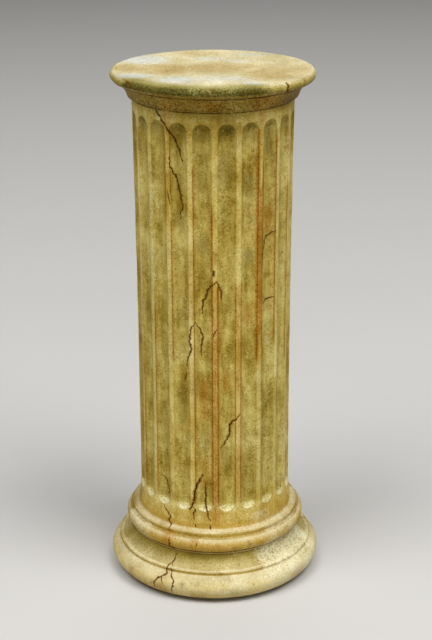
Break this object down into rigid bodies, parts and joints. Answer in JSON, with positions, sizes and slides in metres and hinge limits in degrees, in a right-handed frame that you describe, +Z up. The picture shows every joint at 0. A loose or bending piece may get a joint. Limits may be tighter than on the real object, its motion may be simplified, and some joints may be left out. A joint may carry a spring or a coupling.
{
  "type": "column pedestal",
  "caption": "Short round fluted column with a flat rimmed top to set something on and a double-torus moulded base; stands on its own weight.",
  "frame": {"origin": "middle of the flat underside, on the surface that the column stands on", "axes": "+Z up along the column's axis, -Y towards the front that the picture shows, +X to the right seen from the front"},
  "size_m": [0.3321, 0.3324, 0.8],
  "materials": {
    "ochre_cast_stone": "satin, mottled ochre cast stone with paler worn fillets, rust-brown streaks and dark cracks"
  },
  "bodies": {
    "root": {"column_pedestal": "ochre_cast_stone"}
  },
  "joints": []
}
